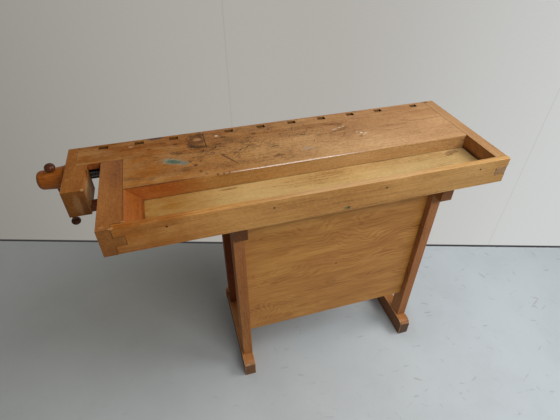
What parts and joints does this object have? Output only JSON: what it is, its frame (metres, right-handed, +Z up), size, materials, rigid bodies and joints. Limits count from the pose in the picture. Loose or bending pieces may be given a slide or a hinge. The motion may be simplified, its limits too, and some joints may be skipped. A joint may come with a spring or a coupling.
{
  "type": "woodworking bench with tail vise",
  "caption": "Small wooden workbench with a sunken tool tray, a row of square dog holes, a trestle base with a plywood back panel, and a screw-driven L-shaped tail vise.",
  "frame": {"origin": "centre of the footprint box, on the floor", "axes": "+X along the bench away from the vise, +Y from the tool tray to the dog holes, +Z up"},
  "size_m": [1.2734, 0.395, 0.8061],
  "materials": {
    "top_wood": "worn oiled beech, satin",
    "edge_wood": "worn oiled beech, satin",
    "tray_wood": "pale oiled pine, matt",
    "base_wood": "oiled beech, satin",
    "plywood": "varnished rotary-cut plywood",
    "turned_wood": "turned and oiled",
    "knob_wood": "dark stained, polished",
    "dark_steel": "dull oiled steel"
  },
  "bodies": {
    "bench": {"top_slab": "top_wood", "dog_strip": "top_wood", "dog_strip_face": "top_wood", "tray_rail": "edge_wood", "left_end_cap": "edge_wood", "right_end_cap": "edge_wood", "tray_bottom": "tray_wood", "tray_ramp": "tray_wood", "vise_runner": "base_wood", "far_stretcher": "base_wood", "left_foot": "base_wood", "left_bearer": "base_wood", "left_near_post": "base_wood", "left_far_post": "base_wood", "left_locating_pin": "base_wood", "right_foot": "base_wood", "right_bearer": "base_wood", "right_near_post": "base_wood", "right_far_post": "base_wood", "right_locating_pin": "base_wood", "back_panel": "plywood", "left_stretcher_peg": "turned_wood", "right_stretcher_peg": "turned_wood", "vise_nut": "dark_steel", "left_cap_bolt_1": "dark_steel", "left_cap_bolt_2": "dark_steel", "right_cap_bolt_1": "dark_steel", "right_cap_bolt_2": "dark_steel"},
    "tail_vise": {"vise_jaw_strip": "top_wood", "vise_jaw_face": "top_wood", "vise_cover_plate": "top_wood", "vise_jaw_head": "edge_wood", "vise_guide_bar": "base_wood", "vise_end_block": "edge_wood"},
    "vise_screw": {"vise_screw": "dark_steel", "screw_collar": "dark_steel", "screw_hub": "turned_wood"},
    "tommy_bar": {"tommy_bar": "knob_wood", "upper_bar_knob": "knob_wood", "lower_bar_knob": "knob_wood"}
  },
  "joints": [
    {"name": "vise_slide", "type": "slide", "parent": "bench", "child": "tail_vise", "axis": [-1, 0, 0], "range_m": [-0.0011, 0.1101]},
    {"name": "screw_turn", "type": "hinge", "parent": "tail_vise", "child": "vise_screw", "pos_m": [-0.55525, 0.1155, 0.755], "axis": [-1, 0, 0], "range_deg": [-60, 6600]},
    {"name": "bar_slide", "type": "slide", "parent": "vise_screw", "child": "tommy_bar", "axis": [0, -0.1564, 0.9877], "range_m": [0, 0.138]}
  ],
  "couplings": [
    {"joint": "vise_slide", "follows": "screw_turn", "m_per_rad": 0.00095493}
  ]
}
